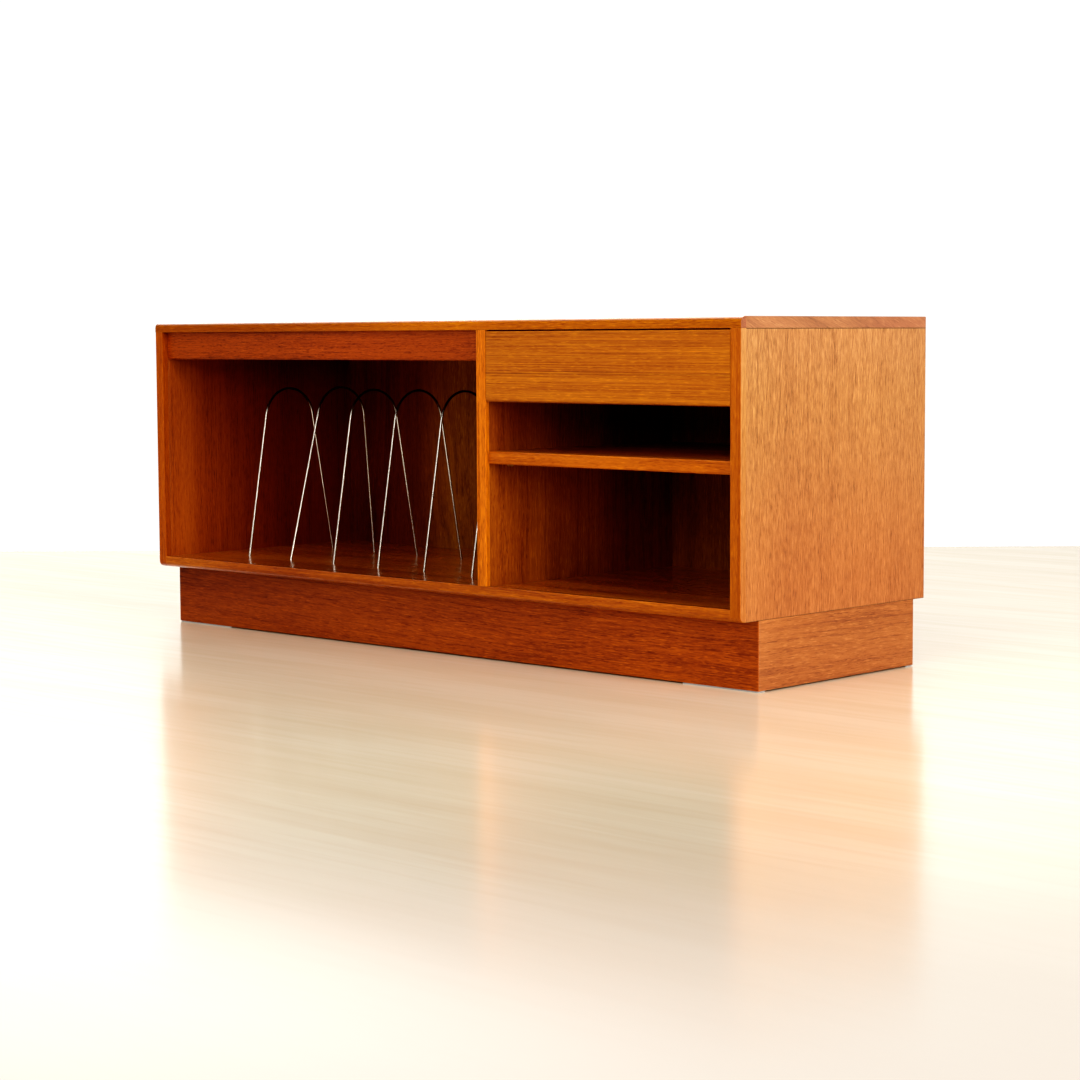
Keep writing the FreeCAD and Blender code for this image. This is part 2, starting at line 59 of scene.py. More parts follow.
# --------------------------------------------------------------------------
# node trees
# --------------------------------------------------------------------------
class Tree:
    """An emptied node tree, with short calls that add nodes and return their output."""

    def __init__(self, node_tree):
        self.tree = node_tree
        self.tree.nodes.clear()

    def put(self, socket, value):
        if isinstance(value, bpy.types.NodeSocket):
            self.tree.links.new(value, socket)
            return
        if socket.type == "RGBA" and len(value) == 3:
            value = (*value, 1.0)
        socket.default_value = value

    def node(self, kind, inputs=None, **settings):
        node = self.tree.nodes.new("ShaderNode" + kind)
        for name, value in settings.items():
            setattr(node, name, value)
        for key, value in (inputs or {}).items():
            self.put(node.inputs[key], value)
        return node

    def math(self, operation, *values, clamp=False):
        inputs = dict(enumerate(values))
        return self.node("Math", inputs, operation=operation, use_clamp=clamp).outputs[0]

    def add(self, a, b):
        return self.math("ADD", a, b)

    def sub(self, a, b):
        return self.math("SUBTRACT", a, b)

    def mul(self, a, b):
        return self.math("MULTIPLY", a, b)

    def muladd(self, value, factor, offset, clamp=False):
        return self.math("MULTIPLY_ADD", value, factor, offset, clamp=clamp)

    def swing(self, value, gain):
        """A 0..1 value turned into a swing about zero."""
        return self.mul(self.sub(value, 0.5), gain)

    def vmath(self, operation, *vectors):
        node = self.node("VectorMath", dict(enumerate(vectors)), operation=operation)
        scalar = operation in ("LENGTH", "DOT_PRODUCT")
        return node.outputs["Value" if scalar else "Vector"]

    def axes(self, vector):
        return dict(zip("XYZ", self.node("SeparateXYZ", {0: vector}).outputs))

    def comb(self, x, y, z):
        return self.node("CombineXYZ", {0: x, 1: y, 2: z}).outputs[0]

    def noise(self, vector, scale=1.0, detail=2.0, rough=0.5):
        inputs = {"Vector": vector, "Scale": scale, "Detail": detail, "Roughness": rough}
        return self.node("TexNoise", inputs).outputs["Fac"]

    def stretched(self, vector, along, across, detail=1.0, rough=0.5):
        """Noise with one scale along the fibres and another across them."""
        vector = self.vmath("MULTIPLY", vector, (along, across, across))
        return self.noise(vector, detail=detail, rough=rough)

    def ramp(self, factor, stops):
        """Stops are (position, colour or grey level)."""
        node = self.node("ValToRGB", {0: factor})
        elements = node.color_ramp.elements
        while len(elements) < len(stops):
            elements.new(0.5)
        for element, (position, colour) in zip(elements, stops):
            element.position = position
            if not isinstance(colour, tuple):
                colour = (colour,) * 3
            element.color = (*colour, 1.0)
        return node.outputs["Color"]

    def step(self, value, start, end):
        """0 at start, 1 at end, smooth between; start may be the larger."""
        inputs = {"Value": value, "From Min": start, "From Max": end}
        return self.node("MapRange", inputs, interpolation_type="SMOOTHSTEP").outputs[0]

    def mix(self, factor, a, b, blend="MIX"):
        node = self.node("Mix", data_type="RGBA", blend_type=blend, clamp_factor=True)
        for index, value in ((0, factor), (6, a), (7, b)):
            self.put(node.inputs[index], value)
        return node.outputs[2]

    # multiplies a tint into a colour; below it carries painted shade, sheen and highlights as
    # well as the wood's own tone
    def tint_multiply(self, colour, tint):
        return self.mix(1.0, colour, tint, "MULTIPLY")

    def mix_shader(self, factor, a, b):
        return self.node("MixShader", {0: factor, 1: a, 2: b}).outputs[0]

    def bump(self, height, strength, distance, **extra):
        inputs = {"Strength": strength, "Distance": distance, "Height": height, **extra}
        return self.node("Bump", inputs).outputs[0]

    def object_place(self):
        return self.node("TexCoord").outputs["Object"]

    @cached_property
    def geometry(self):
        return self.node("NewGeometry").outputs

    @cached_property
    def face_normal(self):
        return self.axes(self.geometry["True Normal"])

    def facing(self, axis, sign, start=0.60, end=0.85):
        """1 on faces that point along the signed axis."""
        return self.step(self.mul(self.face_normal[axis], sign), start, end)


def new_material(name):
    material = bpy.data.materials.new(name)
    material.use_nodes = True
    return material, Tree(material.node_tree)


def principled(tree, inputs):
    surface = tree.node("BsdfPrincipled", inputs).outputs[0]
    tree.node("OutputMaterial", {0: surface})


def shade(colour, factor):
    return tuple(min(1.0, channel * factor) for channel in colour)


def relit(palette, light, mid):
    """A palette with its light and mid tones scaled."""
    return shade(palette[0], light), shade(palette[1], mid), palette[2]


def give(piece, material):
    cad = NODES[piece]
    if not cad.material_slots:
        cad.data.materials.append(None)
    for slot in cad.material_slots:
        slot.material = material


# --------------------------------------------------------------------------
# wood
# --------------------------------------------------------------------------
def growth_rings(tree, across, depth, density, seed):
    """Rings of uneven width and strength about a far axis."""
    radius = tree.math("SQRT", tree.add(tree.mul(across, across), tree.mul(depth, depth)))
    drift = tree.noise(tree.comb(tree.mul(radius, 22.0), 0.0, 3.3 + seed), detail=1.0)
    count = tree.add(tree.mul(radius, density), tree.mul(drift, 5.0))
    profile = [(0.0, 0.1), (0.5, 0.3), (0.82, 1.0), (0.94, 0.8), (1.0, 0.1)]
    ring = tree.ramp(tree.math("FRACT", count), profile)
    index = tree.math("FLOOR", count)
    chance = tree.node("TexWhiteNoise", noise_dimensions="1D")
    tree.put(chance.inputs["W"], index)
    chance = chance.outputs["Value"]
    return tree.mul(ring, tree.muladd(tree.mul(chance, chance), 0.85, 0.15))


def grain_colour(tree, tone, palette):
    light, mid, dark = palette
    return tree.ramp(tone, [(0.0, shade(dark, 0.5)), (0.2, dark), (0.5, mid),
                            (0.8, light), (1.0, shade(light, 1.2))])


def tinted(tree, colour, place, tints):
    for axis, start, end, tint, *limits in tints:
        factor = tree.step(place[axis], start, end)
        for limit in limits:
            if len(limit) == 2:
                mask = tree.facing(*limit, start=0.5, end=0.8)
            else:
                mask = tree.step(place[limit[0]], *limit[1:])
            factor = tree.mul(factor, mask)
        colour = tree.mix(factor, colour, tree.tint_multiply(colour, tint))
    return colour


def wood(name, grain, across, palette, seed,
         ring_density=230.0, ring_depth=0.35, pith=(0.9, 0.25), warp=0.012, slope=0.0,
         broad=0.8, streaks=2.0, fine=1.9, patches=0.5,
         streak_scale=(2.0, 250.0), fine_scale=(38.0, 640.0),
         pores=0.45, pore_along=75.0, flecks=0.25,
         rough=0.42, specular=0.3, coat=0.0, coat_up=False, bump=0.3, wear=0.25,
         lines=(), tints=(), faces=(), other_face=None, other_tints=()):
    """grain, across: axes along the fibres and, in the plane, across them.
    palette: light, mid and dark tones.
    ring_density: rings per metre about the axis at pith (across, third axis).
    warp, slope: waviness and slant of the fibres.
    broad, streaks, fine, patches, pores, flecks: strength of each layer of the figure.
    streak_scale, fine_scale, pore_along: noise scales (along, across) or along the grain.
    coat_up: the polish only shows where the surface turns upwards.
    lines: (axis, position, half width, strength) dark joint lines.
    tints: (axis, from, to, colour, limits...) multiplied in towards 'to'; a limit is
    (axis, sign) for faces pointing that way, or (axis, from, to).
    faces: (axis, sign, colour) multiplied in on faces pointing that way.
    other_face: (axis, sign, palette) for faces pointing that way, with other_tints."""
    material, tree = new_material(name)
    light, _, dark = palette
    place = tree.axes(tree.object_place())
    third = [axis for axis in "XYZ" if axis not in (grain, across)][0]
    along = tree.add(place[grain], 1.7 * seed + 0.31)
    side, depth = place[across], place[third]
    if slope:
        side = tree.add(side, tree.mul(place[grain], slope))
    straight = tree.comb(along, tree.add(side, 0.83 * seed + 0.17),
                         tree.add(depth, 0.57 * seed + 0.41))

    # slow waviness of the fibres
    slow = tree.stretched(straight, 1.3, 5.0, detail=2.0)
    quick = tree.stretched(straight, 7.0, 30.0)
    wave = tree.add(tree.swing(slow, warp * 2), tree.swing(quick, warp * 0.35))
    wavy = tree.vmath("ADD", straight, tree.comb(0.0, wave, wave))

    ring = growth_rings(tree, tree.sub(tree.add(side, wave), pith[0]),
                        tree.sub(tree.add(depth, wave), pith[1]), ring_density, seed)
    gaps = tree.stretched(wavy, 9.0, 160.0, detail=2.0, rough=0.6)
    ring = tree.mul(ring, tree.muladd(gaps, 1.6, -0.2, clamp=True))

    # layers of the figure
    broad_layer = tree.stretched(wavy, 1.1, 22.0, detail=3.0, rough=0.55)
    streak_layer = tree.stretched(wavy, *streak_scale, detail=4.0, rough=0.68)
    fine_layer = tree.stretched(wavy, *fine_scale, detail=3.0, rough=0.75)
    patch_layer = tree.stretched(straight, 2.2, 4.5, detail=2.0)
    pore = tree.step(tree.stretched(wavy, pore_along, 1000.0), 0.56, 0.68)
    fleck = tree.step(tree.stretched(wavy, pore_along * 0.8, 700.0), 0.42, 0.30)
    pore_area = tree.muladd(tree.stretched(wavy, 3.0, 60.0), 1.4, 0.2, clamp=True)
    pore = tree.mul(pore, pore_area)

    tone = 0.5
    for layer, strength in ((broad_layer, broad), (streak_layer, streaks * 0.6),
                            (fine_layer, fine * 0.6), (patch_layer, patches)):
        tone = tree.muladd(tree.sub(layer, 0.5), strength, tone)
    tone = tree.sub(tone, tree.mul(ring, ring_depth))
    tone = tree.sub(tone, tree.mul(pore, pores))
    tone = tree.add(tone, tree.mul(fleck, flecks))

    colour = tinted(tree, grain_colour(tree, tone, palette), place, tints)
    if other_face:
        axis, sign, other_palette = other_face
        other = tinted(tree, grain_colour(tree, tone, other_palette), place, other_tints)
        colour = tree.mix(tree.facing(axis, sign), colour, other)
    for axis, sign, tint in faces:
        colour = tree.mix(tree.facing(axis, sign), colour, tree.tint_multiply(colour, tint))
    for axis, position, half_width, strength in lines:
        distance = tree.math("ABSOLUTE", tree.sub(place[axis], position))
        line = tree.mul(tree.step(distance, half_width, half_width * 0.4), strength)
        colour = tree.mix(line, colour, shade(dark, 0.2))

    # edges rounded in shading only, rubbed paler in places
    bevel = tree.node("Bevel", {"Radius": 0.0016}, samples=4).outputs[0]
    normal = tree.node("NewGeometry").outputs["Normal"]
    edge = tree.step(tree.vmath("DOT_PRODUCT", bevel, normal), 0.995, 0.93)
    rubbed = tree.stretched(straight, 30.0, 90.0, detail=2.0)
    edge = tree.mul(edge, tree.muladd(rubbed, 1.8, -0.2, clamp=True))
    colour = tree.mix(tree.mul(edge, wear), colour, shade(light, 1.35))

    roughness = tree.add(tree.swing(fine_layer, -0.25), rough)
    roughness = tree.add(roughness, tree.mul(pore, 0.15))
    roughness = tree.add(roughness, tree.swing(patch_layer, 0.12))
    height = tree.sub(tree.mul(fine_layer, 0.6), tree.mul(pore, 0.8))
    height = tree.sub(height, tree.mul(ring, 0.2))
    inputs = {"Base Color": colour, "Roughness": roughness, "Specular IOR Level": specular,
              "Normal": tree.bump(height, bump, 0.00025, Normal=bevel)}
    if coat:
        if coat_up:
            upward = tree.step(tree.axes(tree.geometry["Normal"])["Z"], 0.45, 0.95)
            coat = tree.mul(upward, coat)
        inputs.update({"Coat Weight": coat, "Coat Roughness": 0.18})
    principled(tree, inputs)
    return material


def clad(piece, name, grain, across, palette, seed, **look):
    give(piece, wood(name, grain, across, palette, seed, **look))


# --------------------------------------------------------------------------
# metal and felt
# --------------------------------------------------------------------------
def metal(name, base, rough, axis, tarnish, bump=0.25, dark_band=None):
    """Drawn along axis; darkens upwards through dark_band (from, to) as a painted dark
    reflection of the shaded upper bay.
    """
    material, tree = new_material(name)
    place = tree.object_place()
    stretch = tuple(40 if each == axis else 900 for each in "XYZ")
    scratches = tree.noise(tree.vmath("MULTIPLY", place, stretch), detail=3.0, rough=0.6)
    spots = tree.noise(place, scale=70.0, detail=4.0, rough=0.6)
    clouds = tree.noise(place, scale=11.0)
    spotted = tree.mul(tree.step(spots, 0.52, 0.72), tarnish)
    colour = tree.mix(spotted, base, (0.30, 0.24, 0.18))
    clouded = tree.mul(tree.step(clouds, 0.4, 0.7), tarnish * 0.6)
    colour = tree.mix(clouded, colour, shade(base, 0.7))
    # painted shade: the tops of the wires darkened for the dark reflection of the shaded upper
    # bay
    if dark_band:
        height = tree.axes(place)["Z"]
        darkened = tree.tint_multiply(colour, (0.14, 0.13, 0.12))
        colour = tree.mix(tree.step(height, *dark_band), colour, darkened)
    roughness = tree.add(tree.mul(scratches, 0.14), rough - 0.07)
    roughness = tree.add(roughness, tree.mul(spotted, 0.25))
    principled(tree, {"Base Color": colour, "Metallic": 1.0, "Roughness": roughness,
                      "Normal": tree.bump(scratches, bump, 0.00006)})
    return material


def felt(name, base):
    material, tree = new_material(name)
    place = tree.object_place()
    fibres = tree.noise(place, scale=1400.0, detail=3.0, rough=0.7)
    dust = tree.noise(place, scale=220.0, detail=3.0, rough=0.6)
    colour = tree.mix(tree.step(fibres, 0.3, 0.7), shade(base, 0.72), shade(base, 1.08))
    dusty = tree.mul(tree.step(dust, 0.5, 0.75), 0.35)
    colour = tree.mix(dusty, colour, (0.36, 0.31, 0.26))
    principled(tree, {"Base Color": colour, "Roughness": 0.95, "Specular IOR Level": 0.15,
                      "Sheen Weight": 0.4, "Normal": tree.bump(fibres, 0.7, 0.0005)})
    return material


# --------------------------------------------------------------------------
# palettes: light, mid, dark
# --------------------------------------------------------------------------
# SIDE is paler and less saturated than the front tones partly as painted sheen, standing in
# for the light on the right side
SIDE = (0.510, 0.262, 0.092), (0.415, 0.183, 0.055), (0.270, 0.098, 0.027)
FRONT = (0.54, 0.165, 0.007), (0.40, 0.097, 0.003), (0.22, 0.037, 0.001)
FRONT_DARK = FRONT[2]
INNER = (0.48, 0.145, 0.016), (0.345, 0.086, 0.009), (0.17, 0.030, 0.003)
# BACK is darkened as painted shade deep in the bays; back_panel lifts its rear face back out
# of it
BACK = (0.34, 0.105, 0.014), (0.235, 0.062, 0.008), (0.12, 0.024, 0.003)
FASCIA = (0.45, 0.089, 0.004), (0.34, 0.056, 0.002), (0.18, 0.024, 0.001)
DRAWER = (0.485, 0.164, 0.004), (0.382, 0.109, 0.003), (0.240, 0.051, 0.001)
PLINTH = (0.41, 0.093, 0.006), (0.285, 0.052, 0.003), (0.14, 0.019, 0.001)
PLINTH_FRONT = (0.450, 0.106, 0.005), (0.315, 0.060, 0.003), PLINTH[2]
PLINTH_SIDE = (0.450, 0.170, 0.048), (0.350, 0.112, 0.027), (0.205, 0.053, 0.013)
LIP_LEFT = (0.47, 0.122, 0.003), (0.35, 0.070, 0.002), FRONT_DARK
LIP_DIVISION = (0.70, 0.235, 0.008), (0.54, 0.145, 0.004), FRONT_DARK
LIP_TOP = (0.55, 0.182, 0.003), (0.41, 0.110, 0.002), FRONT_DARK
LIP_TOP_END = (0.42, 0.180, 0.095), (0.335, 0.130, 0.070), (0.22, 0.080, 0.042)
TOP_SIDE = (0.465, 0.240, 0.108), (0.375, 0.163, 0.070), (0.25, 0.100, 0.045)
TOP = (0.62, 0.250, 0.054), (0.48, 0.163, 0.028), (0.26, 0.070, 0.011)
OAK = (0.66, 0.44, 0.23), (0.55, 0.34, 0.16), (0.36, 0.20, 0.085)
DRAWER_BOTTOM = (0.76, 0.50, 0.25), (0.66, 0.41, 0.18), (0.46, 0.26, 0.10)
BEECH = (0.68, 0.45, 0.26), (0.58, 0.36, 0.19), (0.42, 0.23, 0.11)
PINE = (0.66, 0.48, 0.26), (0.56, 0.37, 0.17), (0.40, 0.23, 0.09)

# the left side's outer face is redder than the right's, with less of the painted sheen that
# SIDE carries
LEFT_CAST = (1.25, 0.92, 0.62)
LEFT_OUTER = tuple(tuple(cast * channel for cast, channel in zip(LEFT_CAST, tone))
                   for tone in SIDE)

# --------------------------------------------------------------------------
# side panels: upright grain, paler at the top, redder low down
# --------------------------------------------------------------------------
SIDE_TINTS = [("Z", 0.46, 0.10, (0.93, 0.70, 0.60)), ("Z", 0.40, 0.53, (1.03, 1.07, 1.22)),
              ("Y", 0.08, 0.21, (0.95, 0.94, 0.95)), ("Y", -0.10, -0.21, (1.02, 1.07, 1.06))]
side_look = dict(
    ring_density=210.0, ring_depth=0.12, pith=(2.4, 0.2), warp=0.008, broad=0.30,
    streaks=0.95, fine=3.0, patches=0.25, streak_scale=(3.0, 400.0),
    fine_scale=(52.0, 760.0), pores=0.22, flecks=0.18, rough=0.40, specular=0.38,
    lines=[("Z", TOP_UNDERSIDE, 0.0016, 0.85), ("Z", BOTTOM_UNDERSIDE, 0.0014, 0.6)],
    tints=SIDE_TINTS)
# the inner face is darker and redder, without the painted sheen in SIDE
clad("right_side_panel", "teak_right_side", "Z", "Y", SIDE, seed=1,
     faces=[("X", -1.0, (0.80, 0.40, 0.20))], **side_look)

inward = ("X", 1.0)
left_look = dict(side_look, streaks=1.4, fine=2.2, ring_depth=0.30, broad=0.6)
# painted shade and light on the inner face in the left bay: darker towards the back, darker
# still deep under the fascia, paler low down
left_look["tints"] = SIDE_TINTS[1:] + [
    ("Y", -0.205, -0.12, (0.80, 0.72, 0.7), inward),
    ("Y", -0.17, 0.02, (0.45, 0.35, 0.4), inward, ("Z", 0.40, 0.50)),
    ("Y", -0.12, 0.10, (0.75, 0.65, 0.7), inward),
    ("Z", 0.40, 0.14, (1.22, 1.30, 1.3), inward)]
# the inner face is darker and redder, without the painted sheen in SIDE; the outer face is
# redder through LEFT_CAST
clad("left_side_panel", "teak_left_side", "Z", "Y", SIDE, seed=2,
     faces=[("X", 1.0, (0.765, 0.335, 0.10)), ("X", -1.0, LEFT_CAST)], **left_look)

# --------------------------------------------------------------------------
# solid lippings
# --------------------------------------------------------------------------
lip = dict(ring_density=300.0, ring_depth=0.20, pith=(0.35, 0.5), warp=0.006, broad=0.6,
           streaks=1.2, fine=1.2, patches=0.4, pores=0.2, flecks=0.2, rough=0.36,
           specular=0.16, bump=0.25, wear=0.4)
# the lippings' outward faces take the side palettes, painted sheen of SIDE included
clad("right_side_lipping", "teak_lip_right", "Z", "X", relit(FRONT, 0.93, 0.9), seed=3,
     other_face=("X", 1.0, SIDE), other_tints=SIDE_TINTS, **lip)
clad("left_side_lipping", "teak_lip_left", "Z", "X", LIP_LEFT, seed=4,
     other_face=("X", -1.0, LEFT_OUTER), other_tints=SIDE_TINTS, **lip)
clad("division_lipping", "teak_lip_division", "Z", "X", LIP_DIVISION, seed=5, **lip)

polished = dict(lip, coat=1.0, coat_up=True)
# tints: darker towards the left, and paler and bluer towards the right end as a painted
# highlight near the corner
top_look = dict(
    polished, specular=0.12, fine=1.0, streaks=0.8, broad=0.5, ring_depth=0.15,
    tints=[("X", 0.10, -0.45, (0.70, 0.58, 0.8)), ("X", 0.10, 0.60, (1.05, 1.16, 1.3))],
    other_face=("X", 1.0, LIP_TOP_END))
clad("top_front_lipping", "teak_lip_top", "X", "Z", LIP_TOP, seed=6, **top_look)
# tints: darker towards the left, and paler and much bluer at the far left end as a painted
# reflection
bottom_look = dict(
    polished, streaks=1.4, fine=1.6, rough=0.34, specular=0.2,
    tints=[("X", 0.2, -0.5, (0.80, 0.66, 0.9)), ("X", -0.42, -0.60, (1.30, 1.65, 2.3))])
clad("bottom_front_lipping", "teak_lip_bottom", "X", "Z", relit(FRONT, 0.98, 0.90), seed=7,
     **bottom_look)
clad("shelf_front_lipping", "teak_lip_shelf", "X", "Z", relit(FRONT, 1.0, 1.02), seed=8,
     **dict(polished, coat=0.8))

top_side = dict(lip, ring_density=95.0, ring_depth=0.38, fine=0.8, streaks=0.35, broad=0.9,
                patches=1.0, warp=0.05, slope=0.35, pith=(0.9, 0.9), wear=0.3,
                specular=0.38)
clad("top_right_lipping", "teak_lip_top_right", "Y", "Z", TOP_SIDE, seed=9,
     tints=[("Y", 0.0, 0.13, (0.95, 0.87, 0.93))], **top_side)
clad("top_left_lipping", "teak_lip_top_left", "Y", "Z", TOP_SIDE, seed=10, **top_side)

# --------------------------------------------------------------------------
# top board and inner panels
# --------------------------------------------------------------------------
clad("top_core", "teak_top", "X", "Y", TOP, seed=11, ring_density=170.0, ring_depth=0.40,
     pith=(-0.7, 0.9), warp=0.03, broad=1.1, streaks=1.6, fine=1.8, rough=0.36,
     specular=0.4)
# the division's tints are painted shade in the bays: darker towards the back and towards the
# top, a little paler at the front
clad("division_panel", "teak_division", "Z", "Y", INNER, seed=12,
     ring_density=200.0, ring_depth=0.32, pith=(0.30, 0.55), warp=0.02, broad=0.7,
     streaks=1.0, fine=1.3, pores=0.2,
     tints=[("Y", -0.02, 0.12, (0.60, 0.45, 0.5)), ("Y", -0.20, -0.16, (1.03, 1.03, 1.0)),
            ("Z", 0.29, 0.38, (0.76, 0.66, 0.9))])
clad("bottom_panel", "teak_bottom", "X", "Y", relit(INNER, 1.36, 1.34), seed=13,
     ring_density=140.0, ring_depth=0.32, pith=(-0.9, 0.4), warp=0.03, streaks=1.3,
     fine=1.2, rough=0.27, specular=0.5, coat=0.6)
clad("adjustable_shelf", "teak_shelf", "X", "Y", INNER, seed=14, ring_density=150.0,
     ring_depth=0.4, pith=(-0.6, 0.8), warp=0.03, broad=1.0, rough=0.36)
forward = ("Y", -1.0)
# painted light and shade on the front of the back panel: darker towards the left end of the
# left bay, paler towards the division and in the right part of the right bay; the rear face is
# lifted back out of the painted shade
clad("back_panel", "teak_back", "Z", "X", BACK, seed=15,
     ring_density=120.0, ring_depth=0.3, pith=(0.0, 1.4), warp=0.03, broad=0.6,
     streaks=0.9, fine=1.1, pores=0.2, rough=0.48, specular=0.25,
     tints=[("X", -0.34, -0.52, (0.60, 0.38, 0.6), forward),
            ("X", -0.48, -0.31, (1.42, 1.85, 1.4), forward, ("X", 0.16, 0.14)),
            ("X", 0.17, 0.33, (1.40, 1.7, 1.2), forward)],
     faces=[("Y", 1.0, (1.55, 1.5, 2.0))])

# --------------------------------------------------------------------------
# fascia and drawer front
# --------------------------------------------------------------------------
clad("fascia_rail", "teak_fascia", "X", "Z", FASCIA, seed=16,
     ring_density=260.0, ring_depth=0.22, pith=(1.3, 0.1), warp=0.006, broad=0.5,
     streaks=1.1, fine=1.7, patches=0.3, fine_scale=(30.0, 640.0), pores=0.25,
     pore_along=110.0, rough=0.40, specular=0.2,
     tints=[("X", -0.35, 0.14, (0.87, 0.90, 0.7)), ("X", -0.10, -0.40, (0.92, 0.97, 0.7))])
# height above the drawer's base, half width, strength
DRAWER_LINES = ((0.0445, 0.0012, 0.26), (0.0405, 0.0010, 0.14),
                (0.0700, 0.0010, 0.14), (0.0885, 0.0009, 0.12))
clad("drawer_front", "teak_drawer", "X", "Z", DRAWER, seed=17,
     ring_density=210.0, ring_depth=0.28, pith=(2.1, 0.1), warp=0.003, broad=0.3,
     streaks=2.7, fine=1.1, patches=0.2, streak_scale=(1.5, 400.0),
     fine_scale=(24.0, 600.0), pores=0.12, flecks=0.3, rough=0.38, specular=0.22,
     lines=[("Z", DRAWER_BASE + height, *rest) for height, *rest in DRAWER_LINES])

# --------------------------------------------------------------------------
# plinth
# --------------------------------------------------------------------------
plinth = dict(ring_density=120.0, ring_depth=0.26, warp=0.020, slope=0.02, broad=0.55,
              streaks=1.25, fine=1.6, patches=0.4, streak_scale=(1.6, 260.0),
              fine_scale=(28.0, 520.0), pores=0.18, flecks=0.3, rough=0.40)
# darker towards the left as painted shade under the overhang of the carcass
clad("plinth_front_rail", "teak_plinth_front", "X", "Z", PLINTH_FRONT, seed=18,
     pith=(0.75, 0.2), specular=0.18, wear=0.5,
     tints=[("X", 0.55, -0.55, (0.66, 0.55, 0.6))], **plinth)
clad("plinth_back_rail", "teak_plinth_back", "X", "Z", PLINTH, seed=19,
     pith=(0.75, 0.2), specular=0.25, **plinth)
plinth_side = dict(
    plinth, broad=0.4, streaks=0.9, fine=1.3, ring_depth=0.34, pith=(0.62, 0.2),
    specular=0.35,
    tints=[("Y", -0.12, -0.17, (1.07, 1.12, 1.2)), ("Z", 0.07, 0.01, (0.95, 0.90, 0.9))])
for seed, side in ((20, "right"), (21, "left")):
    clad(f"plinth_{side}_rail", f"teak_plinth_{side}", "Y", "Z", PLINTH_SIDE, seed,
         **plinth_side)

# --------------------------------------------------------------------------
# drawer box, runners and hidden timber
# --------------------------------------------------------------------------
pale = dict(ring_density=260.0, ring_depth=0.25, streaks=1.2, fine=1.2, patches=0.4,
            pores=0.2, flecks=0.12, rough=0.5, wear=0.15)
oak = dict(pale, pith=(1.6, 0.3), warp=0.008)
beech = dict(pale, pith=(1.6, 0.3), warp=0.006)
runner = dict(beech, pore_along=140.0)
block = dict(pale, pith=(0.8, 0.3), warp=0.01)
# piece, material name, grain, across, palette, seed, look
for piece, name, grain, across, palette, seed, look in (
    ("drawer_left_side", "box_drawer_left_side", "Y", "Z", OAK, 22, oak),
    ("drawer_right_side", "box_drawer_right_side", "Y", "Z", OAK, 23, oak),
    ("drawer_back", "box_drawer_back", "X", "Z", OAK, 24, oak),
    ("drawer_bottom", "box_drawer_bottom", "X", "Y", DRAWER_BOTTOM, 25,
     dict(pale, pith=(0.2, 0.9), warp=0.04)),
    ("drawer_runner_left", "beech_drawer_runner_left", "Y", "Z", BEECH, 26, runner),
    ("drawer_runner_right", "beech_drawer_runner_right", "Y", "Z", BEECH, 27, runner),
    ("carcass_dowels", "beech_dowels", "Z", "X", BEECH, 28, beech),
    ("plinth_cross_rail", "pine_cross_rail", "Y", "Z", PINE, 29,
     dict(pale, pith=(0.5, 0.2), warp=0.02)),
    ("plinth_corner_blocks", "pine_blocks", "Z", "X", PINE, 30, block),
    ("fascia_glue_blocks", "pine_glue_blocks", "X", "Z", PINE, 31, block),
):
    clad(piece, name, grain, across, palette, seed, **look)

# --------------------------------------------------------------------------
# metal and felt pieces
# --------------------------------------------------------------------------
# the wire crowns carry a painted dark reflection of the shaded upper bay
steel = metal("drawn_steel_wire", (0.47, 0.435, 0.385), rough=0.22, axis="Z", tarnish=0.30,
              bump=0.06, dark_band=(BOTTOM_SURFACE + 0.246, BOTTOM_SURFACE + 0.278))
for number in range(1, 7):
    give(f"record_divider_{number}", steel)
zinc = metal("zinc_screw", (0.55, 0.54, 0.50), rough=0.34, axis="Y", tarnish=0.5)
for place in ("back_panel", "plinth", "runner", "drawer_bottom"):
    give(f"{place}_screws", zinc)
give("shelf_pins", metal("brass_pin", (0.66, 0.47, 0.20), rough=0.30, axis="X", tarnish=0.3))
pad_felt = felt("pad_felt", (0.37, 0.365, 0.35))
give("plinth_felt_pads", pad_felt)

# --------------------------------------------------------------------------
# four soft-edged felt pads under the plinth, in place of the CAD strips
# --------------------------------------------------------------------------
PAD_RADIUS = 0.002      # corner radius in plan
PAD_STEP = 0.0022       # spacing of points along the straight runs
PAD_INSET = 0.001       # unit of the insets below
PAD_FUZZ = 0.22         # most the fuzz adds, in the same unit
# fraction of the height, inset
PAD_LEVELS = ((0.0, 0.42), (0.12, 0.16), (0.35, 0.02), (0.65, 0.02), (0.88, 0.14), (1.0, 0.36))
# corner signs x, y, then the direction of the run that follows, anticlockwise
PAD_CORNERS = ((1, -1, 0, 1), (1, 1, -1, 0), (-1, 1, 0, -1), (-1, -1, 1, 0))


def pad_outline(half_x, half_y):
    """A rounded rectangle about the origin, as (x, y, outward x, outward y)."""
    path = []
    for k, (sign_x, sign_y, run_x, run_y) in enumerate(PAD_CORNERS):
        for j in range(6):
            angle = (k - 1) * math.pi / 2 + j * math.pi / 10
            out_x, out_y = math.cos(angle), math.sin(angle)
            path.append((sign_x * (half_x - PAD_RADIUS) + PAD_RADIUS * out_x,
                         sign_y * (half_y - PAD_RADIUS) + PAD_RADIUS * out_y, out_x, out_y))
        run = 2 * ((half_y if run_x == 0 else half_x) - PAD_RADIUS)
        steps = max(3, int(run / PAD_STEP))
        x, y, out_x, out_y = path[-1]
        for j in range(1, steps):
            path.append((x + run_x * run * j / steps, y + run_y * run * j / steps,
                         out_x, out_y))
    return path


